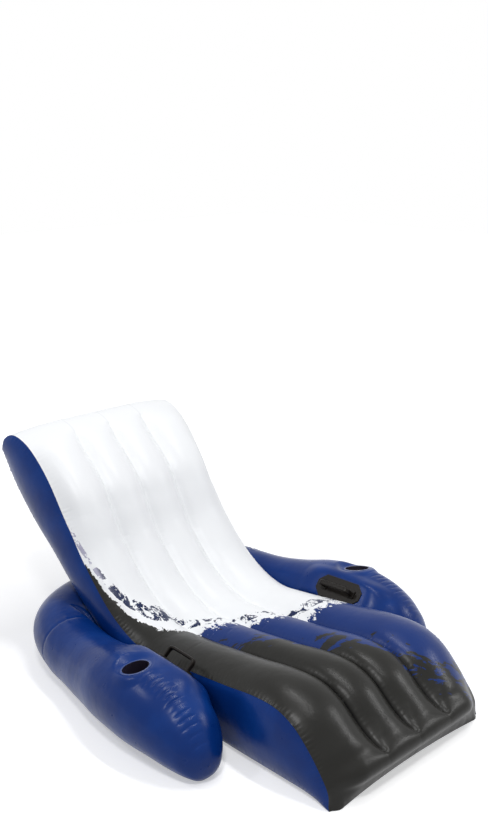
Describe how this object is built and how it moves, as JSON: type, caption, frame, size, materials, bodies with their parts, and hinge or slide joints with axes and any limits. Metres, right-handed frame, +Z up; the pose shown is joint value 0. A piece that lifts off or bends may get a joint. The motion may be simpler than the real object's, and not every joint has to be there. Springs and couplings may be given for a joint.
{
  "type": "inflatable pool recliner",
  "caption": "Inflatable recliner for the pool: channelled reclined lounge body inside a horseshoe arm tube with sunk cup holders and grab handles.",
  "frame": {"origin": "floor level, in the middle of the bounding box", "axes": "+Z up, -Y toward the foot end, +X across"},
  "size_m": [1.3962, 1.7893, 0.8734],
  "materials": {
    "printed_vinyl": "printed soft gloss vinyl",
    "blue_vinyl": "soft gloss vinyl",
    "inner_vinyl": "plain vinyl",
    "cup_vinyl": "dark soft gloss vinyl",
    "rim_vinyl": "welded soft gloss vinyl",
    "black_moulding": "satin moulding",
    "valve_vinyl": "clear grey vinyl"
  },
  "bodies": {
    "chair": {"arm_inner_panel_left": "blue_vinyl", "arm_inner_panel_right": "blue_vinyl", "arm_outer_panel_left": "blue_vinyl", "arm_outer_panel_right": "blue_vinyl", "arm_valve_flange": "valve_vinyl", "arm_valve_tether": "valve_vinyl", "bolster_front_panel": "blue_vinyl", "bolster_rear_panel": "blue_vinyl", "bottom_sheet": "blue_vinyl", "channel_rib_centre": "inner_vinyl", "channel_rib_left": "inner_vinyl", "channel_rib_right": "inner_vinyl", "cup_rim_left": "rim_vinyl", "cup_rim_right": "rim_vinyl", "cup_well_left": "cup_vinyl", "cup_well_right": "cup_vinyl", "handle_base_left": "black_moulding", "handle_base_right": "black_moulding", "handle_grip_left": "black_moulding", "handle_grip_right": "black_moulding", "joining_strip_left": "inner_vinyl", "joining_strip_rear": "inner_vinyl", "joining_strip_right": "inner_vinyl", "lounge_valve_flange": "valve_vinyl", "lounge_valve_tether": "valve_vinyl", "side_panel_left": "blue_vinyl", "side_panel_right": "blue_vinyl", "top_sheet": "printed_vinyl"},
    "lounge_stem": {"lounge_valve_stem": "valve_vinyl"},
    "lounge_plug": {"lounge_valve_plug": "valve_vinyl"},
    "lounge_flap": {"lounge_check_flap": "black_moulding"},
    "arm_stem": {"arm_valve_stem": "valve_vinyl"},
    "arm_plug": {"arm_valve_plug": "valve_vinyl"},
    "arm_flap": {"arm_check_flap": "black_moulding"}
  },
  "joints": [
    {"name": "lounge_stem_push_in", "type": "slide", "parent": "chair", "child": "lounge_stem", "axis": [0, -0.7463, 0.6656], "range_m": [0, 0.0082]},
    {"name": "lounge_plug_pull", "type": "slide", "parent": "lounge_stem", "child": "lounge_plug", "axis": [0, 0.7463, -0.6656], "range_m": [0, 0.014], "deforming": ["lounge_valve_tether"]},
    {"name": "lounge_flap_open", "type": "hinge", "parent": "lounge_stem", "child": "lounge_flap", "pos_m": [-0.26932, 0.78514, 0.56274], "axis": [-0.9999, -0.009, -0.0101], "range_deg": [0, 60], "stiffness_Nm_per_rad": 0.0005},
    {"name": "arm_stem_push_in", "type": "slide", "parent": "chair", "child": "arm_stem", "axis": [0.015, -0.9999, 0], "range_m": [0, 0.0082]},
    {"name": "arm_plug_pull", "type": "slide", "parent": "arm_stem", "child": "arm_plug", "axis": [-0.015, 0.9999, 0], "range_m": [0, 0.014], "deforming": ["arm_valve_tether"]},
    {"name": "arm_flap_open", "type": "hinge", "parent": "arm_stem", "child": "arm_flap", "pos_m": [0.14117, 0.70392, 0.14537], "axis": [-0.028, -0.0004, -0.9996], "range_deg": [0, 60], "stiffness_Nm_per_rad": 0.0005}
  ]
}
